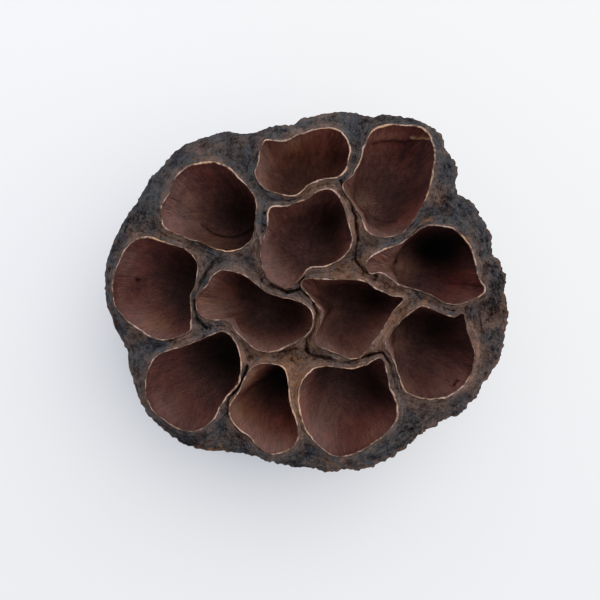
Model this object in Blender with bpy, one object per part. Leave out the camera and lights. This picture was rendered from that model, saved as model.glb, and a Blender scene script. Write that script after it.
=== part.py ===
# Dried lotus pod: one body that grew in one piece. A face with twelve open seed pockets stands on a
# tapering back, which ends in the flat scar of the cut stem. Lengths are in millimetres until the mesh is
# made. +Z is up, X is the long way across the face, and the origin is on the surface that the pod rests on.

import math

import bmesh
import bpy
import numpy as np
from mathutils import Vector
from mathutils.geometry import delaunay_2d_cdt

MM = 0.001

# Heights above the resting surface.
FACE_HEIGHT = 35.5
LIP_RISE = 2.3
MARGIN_DROP = 1.5

# Pockets.
POCKET_DEPTH = 16.5
POCKET_POINTS = 30
LIP_HALF_WIDTH = 0.45
LIP_EDGE_DROP = 0.35
LIP_STAND = 0.7
COLLAR_WIDTH = 1.0
LINING_DEPTHS = [0.0, 2.0, 6.0, 10.0, 13.4, 15.6]

# Back of the pod.
RIM_POINTS = 120
SCAR_RADIUS = 7.2
MEAN_RADIUS = 34.2
RIB_COUNT = 30
RIB_HEIGHT = 0.45
BACK_DEPTHS = [2.6, 5.0, 8.0, 11.5, 15.0, 18.5, 22.0, 25.5, 29.0, 32.0, 34.3]

# The skin of the face between the pockets.
SKIN_SPACING = 1.45
SKIN_SEED = 11

# Each pocket's mouth, seen from above, as points that a smooth closed curve runs through.
POCKETS = {
    "north_west": [
        (-18.1, 23.0), (-15.2, 22.4), (-12.0, 20.0), (-9.5, 16.8), (-9.2, 12.8), (-10.6, 8.8),
        (-14.0, 7.2), (-18.0, 8.3), (-22.1, 9.9), (-25.4, 11.8), (-26.1, 14.8), (-24.6, 17.6),
        (-23.2, 20.6), (-21.0, 22.3),
    ],
    "north": [
        (-7.3, 27.0), (-4.2, 26.9), (-1.2, 28.1), (2.0, 29.0), (5.2, 28.9), (7.3, 26.9),
        (7.4, 23.6), (6.0, 20.7), (3.2, 20.2), (0.6, 19.3), (-1.5, 17.5), (-3.8, 17.2),
        (-7.2, 18.4), (-9.0, 20.3), (-8.7, 23.2), (-8.2, 25.6),
    ],
    "centre_north": [
        (-6.4, 14.8), (-3.2, 15.2), (-0.2, 16.4), (2.2, 17.9), (4.4, 18.0), (6.3, 16.0),
        (7.1, 13.0), (8.0, 9.2), (6.6, 6.4), (3.5, 4.7), (0.3, 4.2), (-1.2, 2.3),
        (-3.1, 0.6), (-5.7, 1.2), (-7.5, 3.4), (-8.2, 6.5), (-7.5, 9.2), (-6.8, 12.2),
    ],
    "north_east": [
        (13.4, 29.4), (16.8, 29.7), (20.2, 29.2), (22.3, 27.6), (22.9, 24.2), (22.3, 20.4),
        (21.3, 16.7), (19.6, 13.6), (17.3, 10.8), (13.9, 9.7), (11.2, 10.6), (9.6, 13.4),
        (8.3, 15.8), (6.5, 18.9), (8.3, 20.8), (9.8, 23.6), (10.6, 26.4), (11.6, 28.4),
    ],
    "west": [
        (-28.6, 9.5), (-25.0, 8.4), (-21.9, 7.4), (-19.9, 5.3), (-19.9, 2.2), (-20.8, -1.0),
        (-20.7, -4.5), (-21.4, -7.2), (-24.2, -8.3), (-27.0, -8.5), (-29.6, -6.8), (-32.6, -4.7),
        (-34.7, -2.2), (-34.9, 0.8), (-34.0, 4.0), (-32.9, 6.7), (-31.2, 8.5),
    ],
    "centre_west": [
        (-19.8, -1.6), (-18.0, 0.8), (-16.2, 3.2), (-13.8, 3.5), (-10.8, 2.3), (-8.0, 0.2),
        (-4.8, -1.2), (-1.6, -1.8), (0.4, -3.1), (1.1, -5.2), (0.0, -7.6), (-3.0, -9.5),
        (-6.6, -10.7), (-9.6, -10.1), (-12.0, -7.7), (-14.4, -5.3), (-17.2, -5.1), (-19.2, -4.1),
    ],
    "centre_east": [
        (-0.3, 2.1), (3.0, 2.0), (6.5, 2.0), (9.8, 1.8), (12.6, 0.2), (15.2, -0.8),
        (17.3, -1.4), (15.7, -3.2), (13.8, -6.2), (11.6, -9.6), (9.6, -11.6), (7.4, -11.9),
        (4.2, -10.7), (1.9, -9.6), (1.7, -7.9), (2.6, -5.4), (2.4, -3.2), (0.6, -1.0), (-0.9, 0.9),
    ],
    "east": [
        (11.4, 5.9), (13.8, 7.3), (17.1, 8.5), (20.0, 10.7), (22.9, 11.7), (25.9, 11.2),
        (28.3, 9.3), (29.8, 6.4), (30.6, 3.0), (31.9, 0.4), (30.3, -1.1), (27.4, -2.2),
        (24.6, -2.0), (22.2, -0.4), (19.1, 0.4), (16.0, 1.6), (13.5, 3.3), (11.4, 3.2), (10.7, 4.5),
    ],
    "south_east": [
        (21.1, -2.7), (24.0, -4.0), (26.5, -4.7), (28.1, -4.2), (28.8, -7.2), (30.1, -11.3),
        (29.3, -15.0), (27.6, -17.3), (24.5, -18.9), (21.2, -19.2), (17.9, -18.0), (16.6, -15.2),
        (15.7, -12.3), (14.3, -9.8), (15.2, -7.4), (17.4, -5.1), (19.6, -3.3),
    ],
    "south_west": [
        (-14.9, -7.3), (-12.9, -9.2), (-11.9, -12.2), (-12.3, -16.0), (-14.1, -18.6), (-15.7, -20.8),
        (-17.0, -23.1), (-19.4, -24.8), (-22.4, -24.8), (-25.4, -23.3), (-27.9, -21.1), (-28.8, -17.8),
        (-28.3, -14.0), (-26.6, -11.6), (-23.6, -10.5), (-19.9, -9.2), (-17.2, -7.9),
    ],
    "south": [
        (-8.1, -13.0), (-5.6, -13.2), (-3.9, -14.6), (-3.4, -17.6), (-3.0, -20.6), (-1.9, -23.8),
        (-1.6, -26.1), (-3.0, -28.2), (-5.8, -29.1), (-8.2, -28.3), (-10.4, -26.1), (-12.6, -24.2),
        (-13.8, -21.6), (-13.2, -19.9), (-12.0, -18.2), (-11.2, -16.2), (-9.9, -13.9),
    ],
    "south_south_east": [
        (-1.4, -19.3), (-0.8, -16.2), (1.2, -14.3), (4.0, -13.6), (7.6, -14.0), (10.4, -13.5),
        (13.2, -12.2), (14.2, -14.4), (14.9, -17.2), (16.1, -20.6), (15.5, -23.6), (13.4, -25.9),
        (10.4, -28.0), (7.4, -29.5), (4.8, -29.6), (2.2, -27.7), (0.2, -25.0), (-0.9, -22.2),
    ],
}

# The pod's edge, seen from above.
RIM = [
    (-36.1, 2.0), (-36.0, 4.7), (-35.3, 7.7), (-34.0, 10.3), (-32.5, 13.1), (-29.7, 17.5),
    (-28.2, 20.3), (-26.2, 22.1), (-23.9, 24.8), (-20.8, 27.0), (-17.8, 27.7), (-14.5, 28.8),
    (-11.3, 28.1), (-7.9, 28.9), (-4.5, 29.7), (-2.3, 30.0), (-0.5, 31.2), (4.9, 32.2),
    (8.9, 32.0), (11.9, 31.3), (13.9, 32.0), (16.8, 31.5), (19.7, 31.0), (22.2, 29.9),
    (24.2, 28.1), (25.2, 25.6), (26.9, 22.9), (27.3, 20.9), (26.9, 19.3), (27.6, 17.3),
    (29.4, 16.2), (30.8, 14.6), (32.4, 11.9), (33.5, 9.4), (33.9, 6.3), (35.1, 3.8),
    (35.7, 1.8), (35.3, 0.4), (35.9, -2.2), (36.2, -4.9), (35.9, -8.5), (34.8, -10.8),
    (33.7, -13.7), (32.3, -15.5), (30.8, -18.2), (29.0, -20.5), (26.9, -22.3), (24.0, -23.6),
    (21.6, -25.0), (19.5, -26.3), (17.5, -28.1), (15.0, -29.9), (12.1, -31.4), (8.7, -32.0),
    (5.1, -32.2), (2.4, -31.7), (-0.5, -31.1), (-3.4, -31.1), (-7.0, -30.4), (-10.2, -28.7),
    (-14.7, -28.6), (-18.3, -28.4), (-21.4, -27.4), (-24.6, -25.6), (-27.5, -22.7), (-29.5, -20.0),
    (-30.7, -17.3), (-31.8, -14.2), (-32.5, -10.6), (-34.2, -7.0), (-35.4, -3.8), (-36.0, -1.1),
]

# How far a pocket's slices close in on the pod's axis, as (depth under the face, share of the full size).
POCKET_LEAN = [(-3.0, 1.0), (0.0, 1.0), (3.0, 0.985), (6.0, 0.956), (10.0, 0.906), (14.0, 0.844), (17.0, 0.795)]


def smooth_closed_curve(points, count):
    """Evenly spaced points along the closed Catmull-Rom curve through the given ones."""
    p = np.array(points)
    before, after, beyond = np.roll(p, 1, 0), np.roll(p, -1, 0), np.roll(p, -2, 0)
    t = np.linspace(0.0, 1.0, 12, endpoint=False)[None, :, None]
    a = 2.0 * p
    b = after - before
    c = 2.0 * before - 5.0 * p + 4.0 * after - beyond
    d = 3.0 * p - before - 3.0 * after + beyond
    fine = 0.5 * (a[:, None] + b[:, None] * t + c[:, None] * t**2 + d[:, None] * t**3)
    fine = fine.reshape(-1, 2)
    closed = np.vstack([fine, fine[:1]])
    run = np.concatenate([[0.0], np.cumsum(np.linalg.norm(np.diff(closed, axis=0), axis=1))])
    stops = np.linspace(0.0, run[-1], count, endpoint=False)
    return np.column_stack([np.interp(stops, run, closed[:, k]) for k in (0, 1)])


def outward(loop):
    """Unit normals of a counterclockwise loop, pointing away from its inside."""
    along = np.roll(loop, -1, 0) - np.roll(loop, 1, 0)
    along /= np.linalg.norm(along, axis=1)[:, None]
    return np.column_stack([along[:, 1], -along[:, 0]])


def distance_to_segments(points, starts, ends):
    """Distance from each point to each segment."""
    run = ends - starts
    length = (run**2).sum(1)
    t = ((points[:, None] - starts[None]) * run[None]).sum(2) / length[None]
    nearest = starts[None] + np.clip(t, 0.0, 1.0)[:, :, None] * run[None]
    return np.linalg.norm(points[:, None] - nearest, axis=2)


def clearances(loops):
    """For each loop's points, how near the other loops come to the point or to the edges that it ends."""
    points = np.vstack(loops)
    ends = np.vstack([np.roll(loop, -1, 0) for loop in loops])
    owner = np.concatenate([np.full(len(loop), k) for k, loop in enumerate(loops)])
    apart = distance_to_segments(points, points, ends)
    apart[owner[:, None] == owner[None]] = np.inf
    at_point = apart.min(1)
    at_edge = apart.min(0)
    result = []
    for k in range(len(loops)):
        edge = at_edge[owner == k]
        result.append(np.minimum(at_point[owner == k], np.minimum(edge, np.roll(edge, 1))))
    return result


def inside(points, loop):
    """Which points are inside a closed loop."""
    x, y = points[:, 0, None], points[:, 1, None]
    ax, ay = loop[None, :, 0], loop[None, :, 1]
    bx, by = np.roll(ax, -1, 1), np.roll(ay, -1, 1)
    crosses = (ay > y) != (by > y)
    reach = np.where(crosses, by - ay, 1.0)
    return (crosses & (x < ax + (y - ay) * (bx - ax) / reach)).sum(1) % 2 == 1


def waves(x, y, size, phase):
    """A smooth unevenness between about -1 and 1, whose bumps are about as wide as size."""
    k = 2.0 * math.pi / size
    total = np.sin(k * (0.83 * x + 0.37 * y) + phase)
    total += np.sin(k * (-0.41 * x + 0.90 * y) * 1.13 + 2.1 * phase)
    total += np.sin(k * (0.64 * x - 0.71 * y) * 0.87 + 3.7 * phase)
    return total / 2.2


def face_height(x, y):
    """Height of the face without its collars: nearly flat, a little domed and uneven."""
    reach = np.hypot(x / 36.0, y / 32.0)
    return FACE_HEIGHT - 0.9 * reach**4 + 0.35 * waves(x, y, 31.0, 0.6)


def lip_height(x, y):
    """Height of the papery lip round a pocket, which rises and dips along its way."""
    return face_height(x, y) + LIP_RISE + 0.45 * waves(x, y, 13.0, 1.9) + 0.2 * waves(x, y, 5.0, 4.2)


def skin_height(points, mouth_distance):
    """Height of the skin between the pockets: it climbs steeply to just under each lip and is wrinkled."""
    x, y = points[:, 0], points[:, 1]
    climb = np.exp(-((mouth_distance / COLLAR_WIDTH) ** 0.9))
    low = face_height(x, y) + 0.3 * waves(x, y, 4.1, 2.7)
    return low + climb * (lip_height(x, y) - LIP_STAND - low)


def add_points(points, new):
    """Appends rows of x, y, z and gives their numbers."""
    first = len(points)
    points.extend(map(tuple, new))
    return list(range(first, len(points)))


def bridge(faces, upper, lower):
    """A band of quads between two rings with the same number of points."""
    for k in range(len(upper)):
        after = (k + 1) % len(upper)
        faces.append((upper[k], upper[after], lower[after], lower[k]))


def close_with_fan(faces, ring, centre):
    for k in range(len(ring)):
        faces.append((ring[k], ring[(k + 1) % len(ring)], centre))


def pocket_lean(heights):
    depths, shares = zip(*POCKET_LEAN)
    return np.interp(FACE_HEIGHT - heights, depths, shares)


def pocket_lining(points, faces, mouth, crest):
    """The pocket from its lip down to its rounded floor, leaning in to the stem as it goes down."""
    middle = mouth.mean(0)
    rim_height = lip_height(mouth[:, 0], mouth[:, 1]) - LIP_EDGE_DROP
    floor_height = face_height(*middle) - POCKET_DEPTH
    above = crest
    arm = mouth - middle
    reach = np.hypot(arm[:, 0], arm[:, 1])[:, None]
    round_arm = arm / reach * reach.mean()
    for depth in LINING_DEPTHS:
        part = depth / POCKET_DEPTH
        share = (1.0 - part**2.6) ** 0.42
        height = rim_height * (1.0 - part) + floor_height * part
        roundness = part**2
        flat = middle + share * (arm * (1.0 - roundness) + round_arm * roundness)
        flat = flat * pocket_lean(height)[:, None]
        ring = add_points(points, np.column_stack([flat, height]))
        bridge(faces, above, ring)
        above = ring
    bottom = middle * pocket_lean(floor_height)
    centre = add_points(points, [(bottom[0], bottom[1], floor_height)])[0]
    close_with_fan(faces, above, centre)


def back_taper(depth):
    """Share of the full size, half a cosine wave from the face down to the stem scar."""
    scar_share = SCAR_RADIUS / MEAN_RADIUS
    swing = 0.5 + 0.5 * math.cos(math.pi * (depth / FACE_HEIGHT) ** 1.6)
    return scar_share + (1.0 - scar_share) * swing


def back_radius(angle, rim_radius, depth, bulges):
    """Distance of the back from the axis. It goes from the rim's outline to the round stem scar."""
    taper = back_taper(depth)
    roundness = np.clip((depth - 7.0) / (FACE_HEIGHT - 9.0), 0.0, 1.0) ** 1.3
    radius = taper * (rim_radius * (1.0 - roundness) + MEAN_RADIUS * roundness)
    strength = math.sin(math.pi * min(1.0, max(0.0, depth - 0.5) / (FACE_HEIGHT - 0.5)))
    ribs = np.cos(RIB_COUNT * angle + 1.4 * np.sin(3.0 * angle) + 0.05 * depth)
    lumps = 0.0
    for bulge in bulges:
        turn = np.angle(np.exp(1j * (angle - bulge)))
        lumps = lumps + np.exp(-((turn / 0.17) ** 2)) * math.exp(-(((depth - 8.0) / 5.0) ** 2))
    return radius + RIB_HEIGHT * strength * ribs + 0.7 * lumps


def pod_back(points, faces, top_ring, rim, bulges):
    """The outer side, lofted from the rim's outline down to the flat scar of the stem."""
    angle = np.arctan2(rim[:, 1], rim[:, 0])
    radius = np.hypot(rim[:, 0], rim[:, 1])
    edge = face_height(rim[:, 0], rim[:, 1]) - MARGIN_DROP + 0.35 * waves(rim[:, 0], rim[:, 1], 6.0, 3.1)
    above = add_points(points, np.column_stack([rim, edge]))
    bridge(faces, top_ring, above)
    for depth in BACK_DEPTHS + [FACE_HEIGHT]:
        reach = back_radius(angle, radius, depth, bulges)
        settle = max(0.0, 1.0 - depth / 8.0)
        height = FACE_HEIGHT - depth + settle * (edge - FACE_HEIGHT + MARGIN_DROP)
        flat = np.column_stack([reach * np.cos(angle), reach * np.sin(angle)])
        ring = add_points(points, np.column_stack([flat, np.broadcast_to(height, len(rim))]))
        bridge(faces, above, ring)
        above = ring
    centre = add_points(points, [(0.0, 0.0, 0.0)])[0]
    close_with_fan(faces, above, centre)


def scattered_points(boundary, holes):
    """Points over the skin, on a shaken grid, clear of the loops that bound it."""
    rng = np.random.default_rng(SKIN_SEED)
    reach = np.arange(-38.0, 38.0, SKIN_SPACING)
    x, y = np.meshgrid(reach, reach)
    grid = np.column_stack([x.ravel(), y.ravel()])
    grid = grid + rng.uniform(-0.3, 0.3, grid.shape) * SKIN_SPACING
    keep = inside(grid, boundary)
    for loop in [boundary] + holes:
        keep &= distance_to_segments(grid, loop, np.roll(loop, -1, 0)).min(1) > 0.55 * SKIN_SPACING
    for loop in holes:
        keep &= ~inside(grid, loop)
    return grid[keep]


def face_skin(points, faces, boundary, collars, mouths):
    """The skin between the pockets, triangulated between the collars' feet and the margin."""
    loops = [boundary] + collars
    loose = scattered_points(boundary, collars)
    flat = np.vstack(loops + [loose])
    edges = []
    start = 0
    for loop in loops:
        count = len(loop)
        edges += [(start + k, start + (k + 1) % count) for k in range(count)]
        start += count
    made = delaunay_2d_cdt([Vector(p) for p in flat], edges, [], 0, 1e-5)
    flat = np.array([tuple(p) for p in made[0]])
    triangles = np.array([f for f in made[2]])
    middle = flat[triangles].mean(1)
    keep = inside(middle, boundary)
    for loop in collars:
        keep &= ~inside(middle, loop)
    mouth_distance = np.full(len(flat), np.inf)
    for mouth in mouths:
        reach = distance_to_segments(flat, mouth, np.roll(mouth, -1, 0)).min(1)
        mouth_distance = np.minimum(mouth_distance, reach - LIP_HALF_WIDTH)
    height = skin_height(flat, np.maximum(mouth_distance, 0.0))
    numbers = add_points(points, np.column_stack([flat, height]))
    for triangle in triangles[keep]:
        faces.append(tuple(numbers[k] for k in triangle))
    rings = []
    start = 0
    for loop in loops:
        rings.append(numbers[start:start + len(loop)])
        start += len(loop)
    return rings


def pod_mesh():
    """The whole pod as one closed mesh."""
    rim = smooth_closed_curve(RIM[::-1], RIM_POINTS)
    mouths = [smooth_closed_curve(loop[::-1], POCKET_POINTS) for loop in POCKETS.values()]
    room = clearances([rim] + mouths)
    margin = rim - outward(rim) * np.minimum(1.3, 0.34 * room[0])[:, None]
    points, faces = [], []
    crests, collars = [], []
    for mouth, gap in zip(mouths, room[1:]):
        width = np.minimum(LIP_HALF_WIDTH, 0.17 * gap)[:, None]
        crests.append(mouth + outward(mouth) * width)
        collars.append(mouth + outward(mouth) * width * 2.0)
    rings = face_skin(points, faces, margin, collars, mouths)
    for mouth, crest, foot in zip(mouths, crests, rings[1:]):
        height = lip_height(crest[:, 0], crest[:, 1])
        top = add_points(points, np.column_stack([crest, height]))
        bridge(faces, foot, top)
        pocket_lining(points, faces, mouth, top)
    outer = [mouth.mean(0) for mouth in mouths if np.hypot(*mouth.mean(0)) > 18.0]
    bulges = [math.atan2(y, x) for x, y in outer]
    pod_back(points, faces, rings[0], rim, bulges)
    return points, faces


def wood_material():
    material = bpy.data.materials.new("dry_pod_wood")
    material.use_nodes = True
    shader = material.node_tree.nodes["Principled BSDF"]
    shader.inputs["Base Color"].default_value = (0.105, 0.075, 0.058, 1.0)
    shader.inputs["Roughness"].default_value = 0.82
    shader.inputs["Metallic"].default_value = 0.0
    return material


def main():
    for leftover in list(bpy.data.objects):
        bpy.data.objects.remove(leftover, do_unlink=True)
    points, faces = pod_mesh()
    mesh = bpy.data.meshes.new("lotus_pod")
    mesh.from_pydata([tuple(MM * c for c in p) for p in points], [], faces)
    shape = bmesh.new()
    shape.from_mesh(mesh)
    loose = [v for v in shape.verts if not v.link_faces]
    bmesh.ops.delete(shape, geom=loose, context="VERTS")
    bmesh.ops.recalc_face_normals(shape, faces=shape.faces)
    shape.to_mesh(mesh)
    shape.free()
    mesh.shade_smooth()
    mesh.set_sharp_from_angle(angle=math.radians(40.0))
    pod = bpy.data.objects.new("lotus_pod", mesh)
    pod.data.materials.append(wood_material())
    collection = bpy.data.collections.new("Dried lotus pod")
    bpy.context.scene.collection.children.link(collection)
    collection.objects.link(pod)


main()
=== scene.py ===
import math

import bpy
import numpy as np
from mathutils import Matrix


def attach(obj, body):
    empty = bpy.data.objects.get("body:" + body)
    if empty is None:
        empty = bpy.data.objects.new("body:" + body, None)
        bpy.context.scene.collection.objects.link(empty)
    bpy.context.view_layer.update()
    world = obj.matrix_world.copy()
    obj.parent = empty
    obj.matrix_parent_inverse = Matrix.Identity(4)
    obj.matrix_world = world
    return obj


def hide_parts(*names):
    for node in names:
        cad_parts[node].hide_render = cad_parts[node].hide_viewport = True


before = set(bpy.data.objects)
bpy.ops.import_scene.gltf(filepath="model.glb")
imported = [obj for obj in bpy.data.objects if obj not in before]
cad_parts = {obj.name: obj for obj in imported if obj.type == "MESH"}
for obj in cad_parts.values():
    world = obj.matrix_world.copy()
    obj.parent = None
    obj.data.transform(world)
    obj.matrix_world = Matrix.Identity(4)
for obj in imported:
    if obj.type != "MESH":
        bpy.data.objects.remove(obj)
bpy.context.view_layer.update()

# Lengths below are in millimetres, and each mesh is scaled to metres when it is made. The last number given
# to roughness, patches and wrinkles is the seed of their random values.
mm = 0.001
turn = 2.0 * math.pi
farAway = 99.0

pod = {
    "faceHeight": 35.5,
    "halfLength": 36.0,
    "halfBreadth": 32.0,
    "domeDrop": 0.9,
    "faceWave": 0.35,
    "lipRise": 2.3,
    "lipWave": 0.45,
    "lipRipple": 0.2,
    "mouthSteps": 288,
    "mouthBump": 0.20,
    "mouthNick": 0.10,
    "rimSteps": 1440,
    "rimGrowth": 0.45,
    "rimSwells": [
        (-16.5, -28.4, 5.0, 0.3), (0.5, -31.4, 4.0, 0.6), (35.0, 2.0, 6.0, 0.25), (-26.0, -24.0, 3.0, 0.2),
        (-10.3, -28.8, 2.0, 0.55), (18.0, -27.8, 1.3, 0.6), (34.4, 7.3, 1.3, -0.7), (24.6, 25.0, 1.3, -0.5),
        (1.6, 31.8, 1.3, -0.5), (-21.0, 26.0, 2.0, -0.3), (35.6, -7.0, 2.0, -0.4), (29.8, -18.5, 1.5, 0.3),
    ],
}

# Each pocket's mouth, seen from above, as points that a smooth closed curve runs through.
mouthPoints = {
    "northWest": [
        (-18.1, 23.0), (-15.2, 22.4), (-12.0, 20.0), (-9.5, 16.8), (-9.2, 12.8), (-10.6, 8.8),
        (-14.0, 7.2), (-18.0, 8.3), (-22.1, 9.9), (-25.4, 11.8), (-26.1, 14.8), (-24.6, 17.6),
        (-23.2, 20.6), (-21.0, 22.3),
    ],
    "north": [
        (-7.3, 27.0), (-4.2, 26.9), (-1.2, 28.1), (2.0, 29.0), (5.2, 28.9), (7.3, 26.9),
        (7.4, 23.6), (6.0, 20.7), (3.2, 20.2), (0.6, 19.3), (-1.5, 17.5), (-3.8, 17.2),
        (-7.2, 18.4), (-9.0, 20.3), (-8.7, 23.2), (-8.2, 25.6),
    ],
    "centreNorth": [
        (-6.4, 14.8), (-3.2, 15.2), (-0.2, 16.4), (2.2, 17.9), (4.4, 18.0), (6.3, 16.0),
        (7.1, 13.0), (8.0, 9.2), (6.6, 6.4), (3.5, 4.7), (0.3, 4.2), (-1.2, 2.3),
        (-3.1, 0.6), (-5.7, 1.2), (-7.5, 3.4), (-8.2, 6.5), (-7.5, 9.2), (-6.8, 12.2),
    ],
    "northEast": [
        (13.4, 29.4), (16.8, 29.7), (20.2, 29.2), (22.3, 27.6), (22.9, 24.2), (22.3, 20.4),
        (21.3, 16.7), (19.6, 13.6), (17.3, 10.8), (13.9, 9.7), (11.2, 10.6), (9.6, 13.4),
        (8.3, 15.8), (6.5, 18.9), (8.3, 20.8), (9.8, 23.6), (10.6, 26.4), (11.6, 28.4),
    ],
    "west": [
        (-28.6, 9.5), (-25.0, 8.4), (-21.9, 7.4), (-19.9, 5.3), (-19.9, 2.2), (-20.8, -1.0),
        (-20.7, -4.5), (-21.4, -7.2), (-24.2, -8.3), (-27.0, -8.5), (-29.6, -6.8), (-32.6, -4.7),
        (-34.7, -2.2), (-34.9, 0.8), (-34.0, 4.0), (-32.9, 6.7), (-31.2, 8.5),
    ],
    "centreWest": [
        (-19.8, -1.6), (-18.0, 0.8), (-16.2, 3.2), (-13.8, 3.5), (-10.8, 2.3), (-8.0, 0.2),
        (-4.8, -1.2), (-1.6, -1.8), (0.4, -3.1), (1.1, -5.2), (0.0, -7.6), (-3.0, -9.5),
        (-6.6, -10.7), (-9.6, -10.1), (-12.0, -7.7), (-14.4, -5.3), (-17.2, -5.1), (-19.2, -4.1),
    ],
    "centreEast": [
        (-0.3, 2.1), (3.0, 2.0), (6.5, 2.0), (9.8, 1.8), (12.6, 0.2), (15.2, -0.8),
        (17.3, -1.4), (15.7, -3.2), (13.8, -6.2), (11.6, -9.6), (9.6, -11.6), (7.4, -11.9),
        (4.2, -10.7), (1.9, -9.6), (1.7, -7.9), (2.6, -5.4), (2.4, -3.2), (0.6, -1.0), (-0.9, 0.9),
    ],
    "east": [
        (11.4, 5.9), (13.8, 7.3), (17.1, 8.5), (20.0, 10.7), (22.9, 11.7), (25.9, 11.2),
        (28.3, 9.3), (29.8, 6.4), (30.6, 3.0), (31.9, 0.4), (30.3, -1.1), (27.4, -2.2),
        (24.6, -2.0), (22.2, -0.4), (19.1, 0.4), (16.0, 1.6), (13.5, 3.3), (11.4, 3.2), (10.7, 4.5),
    ],
    "southEast": [
        (21.1, -2.7), (24.0, -4.0), (26.5, -4.7), (28.1, -4.2), (28.8, -7.2), (30.1, -11.3),
        (29.3, -15.0), (27.6, -17.3), (24.5, -18.9), (21.2, -19.2), (17.9, -18.0), (16.6, -15.2),
        (15.7, -12.3), (14.3, -9.8), (15.2, -7.4), (17.4, -5.1), (19.6, -3.3),
    ],
    "southWest": [
        (-14.9, -7.3), (-12.9, -9.2), (-11.9, -12.2), (-12.3, -16.0), (-14.1, -18.6), (-15.7, -20.8),
        (-17.0, -23.1), (-19.4, -24.8), (-22.4, -24.8), (-25.4, -23.3), (-27.9, -21.1), (-28.8, -17.8),
        (-28.3, -14.0), (-26.6, -11.6), (-23.6, -10.5), (-19.9, -9.2), (-17.2, -7.9),
    ],
    "south": [
        (-8.1, -13.0), (-5.6, -13.2), (-3.9, -14.6), (-3.4, -17.6), (-3.0, -20.6), (-1.9, -23.8),
        (-1.6, -26.1), (-3.0, -28.2), (-5.8, -29.1), (-8.2, -28.3), (-10.4, -26.1), (-12.6, -24.2),
        (-13.8, -21.6), (-13.2, -19.9), (-12.0, -18.2), (-11.2, -16.2), (-9.9, -13.9),
    ],
    "southSouthEast": [
        (-1.4, -19.3), (-0.8, -16.2), (1.2, -14.3), (4.0, -13.6), (7.6, -14.0), (10.4, -13.5),
        (13.2, -12.2), (14.2, -14.4), (14.9, -17.2), (16.1, -20.6), (15.5, -23.6), (13.4, -25.9),
        (10.4, -28.0), (7.4, -29.5), (4.8, -29.6), (2.2, -27.7), (0.2, -25.0), (-0.9, -22.2),
    ],
}

# The pod's edge, seen from above.
rimPoints = [
    (-36.1, 2.0), (-36.0, 4.7), (-35.3, 7.7), (-34.0, 10.3), (-32.5, 13.1), (-29.7, 17.5),
    (-28.2, 20.3), (-26.2, 22.1), (-23.9, 24.8), (-20.8, 27.0), (-17.8, 27.7), (-14.5, 28.8),
    (-11.3, 28.1), (-7.9, 28.9), (-4.5, 29.7), (-2.3, 30.0), (-0.5, 31.2), (4.9, 32.2),
    (8.9, 32.0), (11.9, 31.3), (13.9, 32.0), (16.8, 31.5), (19.7, 31.0), (22.2, 29.9),
    (24.2, 28.1), (25.2, 25.6), (26.9, 22.9), (27.3, 20.9), (26.9, 19.3), (27.6, 17.3),
    (29.4, 16.2), (30.8, 14.6), (32.4, 11.9), (33.5, 9.4), (33.9, 6.3), (35.1, 3.8),
    (35.7, 1.8), (35.3, 0.4), (35.9, -2.2), (36.2, -4.9), (35.9, -8.5), (34.8, -10.8),
    (33.7, -13.7), (32.3, -15.5), (30.8, -18.2), (29.0, -20.5), (26.9, -22.3), (24.0, -23.6),
    (21.6, -25.0), (19.5, -26.3), (17.5, -28.1), (15.0, -29.9), (12.1, -31.4), (8.7, -32.0),
    (5.1, -32.2), (2.4, -31.7), (-0.5, -31.1), (-3.4, -31.1), (-7.0, -30.4), (-10.2, -28.7),
    (-14.7, -28.6), (-18.3, -28.4), (-21.4, -27.4), (-24.6, -25.6), (-27.5, -22.7), (-29.5, -20.0),
    (-30.7, -17.3), (-31.8, -14.2), (-32.5, -10.6), (-34.2, -7.0), (-35.4, -3.8), (-36.0, -1.1),
]


def smoothClosedCurve(points, count):
    # closed curve of cubic stretches through the points, each bent by the four points nearest to it, and
    # read at even distances along it
    p = np.array(points)
    before, after, beyond = np.roll(p, 1, 0), np.roll(p, -1, 0), np.roll(p, -2, 0)
    t = np.linspace(0.0, 1.0, 16, endpoint=False)[None, :, None]
    a, b = 2.0 * p, after - before
    c = 2.0 * before - 5.0 * p + 4.0 * after - beyond
    d = 3.0 * p - before - 3.0 * after + beyond
    fine = 0.5 * (a[:, None] + b[:, None] * t + c[:, None] * t**2 + d[:, None] * t**3)
    fine = fine.reshape(-1, 2)
    closed = np.vstack([fine, fine[:1]])
    run = np.concatenate([[0.0], np.cumsum(np.linalg.norm(np.diff(closed, axis=0), axis=1))])
    stops = np.linspace(0.0, run[-1], count, endpoint=False)
    return np.column_stack([np.interp(stops, run, closed[:, k]) for k in (0, 1)])


def outwardOf(loop):
    # unit normals of a counterclockwise loop: the direction along it, turned a quarter to the right
    along = np.roll(loop, -1, 0) - np.roll(loop, 1, 0)
    along /= np.linalg.norm(along, axis=1)[:, None]
    return np.column_stack([along[:, 1], -along[:, 0]])


def distanceToLoop(points, loop):
    # distance from each point to the nearest edge of a closed loop, in batches that fit in memory
    batch = 20000
    run = np.roll(loop, -1, 0) - loop
    length = (run**2).sum(1)
    result = np.empty(len(points))
    for first in range(0, len(points), batch):
        part = points[first:first + batch]
        t = ((part[:, None] - loop[None]) * run[None]).sum(2) / length[None]
        nearest = loop[None] + np.clip(t, 0.0, 1.0)[:, :, None] * run[None]
        result[first:first + batch] = np.sqrt(((part[:, None] - nearest) ** 2).sum(2).min(1))
    return result


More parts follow.
